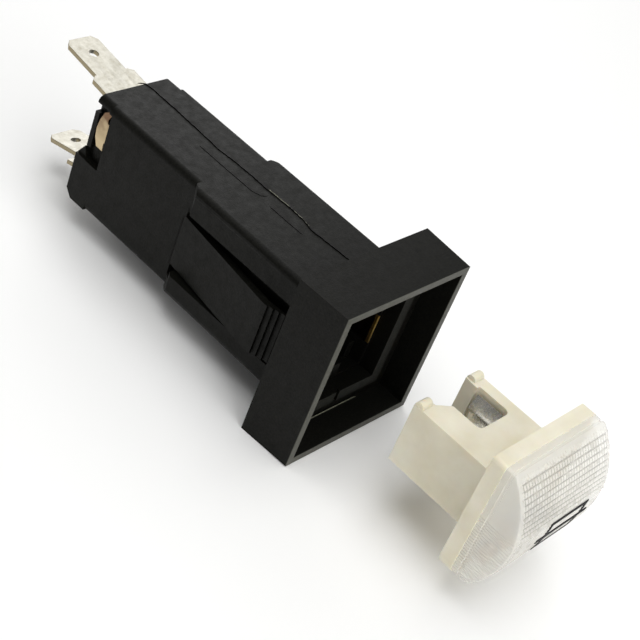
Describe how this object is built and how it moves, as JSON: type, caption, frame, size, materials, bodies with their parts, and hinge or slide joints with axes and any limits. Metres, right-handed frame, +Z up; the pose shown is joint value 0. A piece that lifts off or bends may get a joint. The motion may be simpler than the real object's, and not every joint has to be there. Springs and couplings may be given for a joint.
{
  "type": "cartridge fuse holder",
  "caption": "Snap-in panel fuse holder with a square bezel, side latch arms, two push-on tabs and a pull-out lighted carrier with a clear prismatic lens",
  "frame": {"origin": "centre of the back face of the bezel, which rests on the front of the panel", "axes": "+X right across the bezel seen from the front, +Y back through the panel, +Z up the bezel"},
  "size_m": [0.0288, 0.1104, 0.0296],
  "materials": {
    "housing_plastic": "matte moulded black",
    "tinned_brass": "bright tin plate",
    "bare_brass": "satin",
    "rivet_metal": "satin",
    "ivory_plastic": "semi-gloss moulded ivory",
    "clip_metal": "bright plate",
    "clear_lens": "clear, pyramids above and fine flutes below",
    "lamp_glass": "clear",
    "electrode_metal": "dull",
    "lead_wire": "tinned copper",
    "resistor_coat": "tan lacquer"
  },
  "bodies": {
    "holder": {"housing": "housing_plastic", "line_terminal": "tinned_brass", "load_terminal": "tinned_brass", "side_contact": "bare_brass", "lamp_contact": "bare_brass", "rear_contact_foot": "bare_brass", "terminal_rivets": "rivet_metal"},
    "latch_left": {"latch_arm_left": "housing_plastic"},
    "latch_right": {"latch_arm_right": "housing_plastic"},
    "rear_spring": {"rear_contact_spring": "bare_brass"},
    "carrier": {"carrier_body": "ivory_plastic", "fuse_clip": "clip_metal", "clip_rivet": "rivet_metal", "lamp_wiper": "bare_brass", "lens": "clear_lens", "lamp_bulb": "lamp_glass", "lamp_electrodes": "electrode_metal", "lamp_leads": "lead_wire", "resistor_body": "resistor_coat", "resistor_caps": "resistor_coat", "resistor_leads": "lead_wire"}
  },
  "joints": [
    {"name": "carrier_slide", "type": "slide", "parent": "holder", "child": "carrier", "axis": [0, 1, 0], "range_m": [0, 0.031]},
    {"name": "latch_left_flex", "type": "hinge", "parent": "holder", "child": "latch_left", "pos_m": [-0.0076, 0.0272, -0.00105], "axis": [0, 0, -1], "range_deg": [0, 2.6], "stiffness_Nm_per_rad": 0.5},
    {"name": "latch_right_flex", "type": "hinge", "parent": "holder", "child": "latch_right", "pos_m": [0.0076, 0.0272, -0.00105], "axis": [0, 0, 1], "range_deg": [0, 2.6], "stiffness_Nm_per_rad": 0.5},
    {"name": "rear_spring_flex", "type": "hinge", "parent": "holder", "child": "rear_spring", "pos_m": [-0.00345, 0.0358, 0], "axis": [0, 0, 1], "range_deg": [0, 12], "stiffness_Nm_per_rad": 0.1}
  ]
}
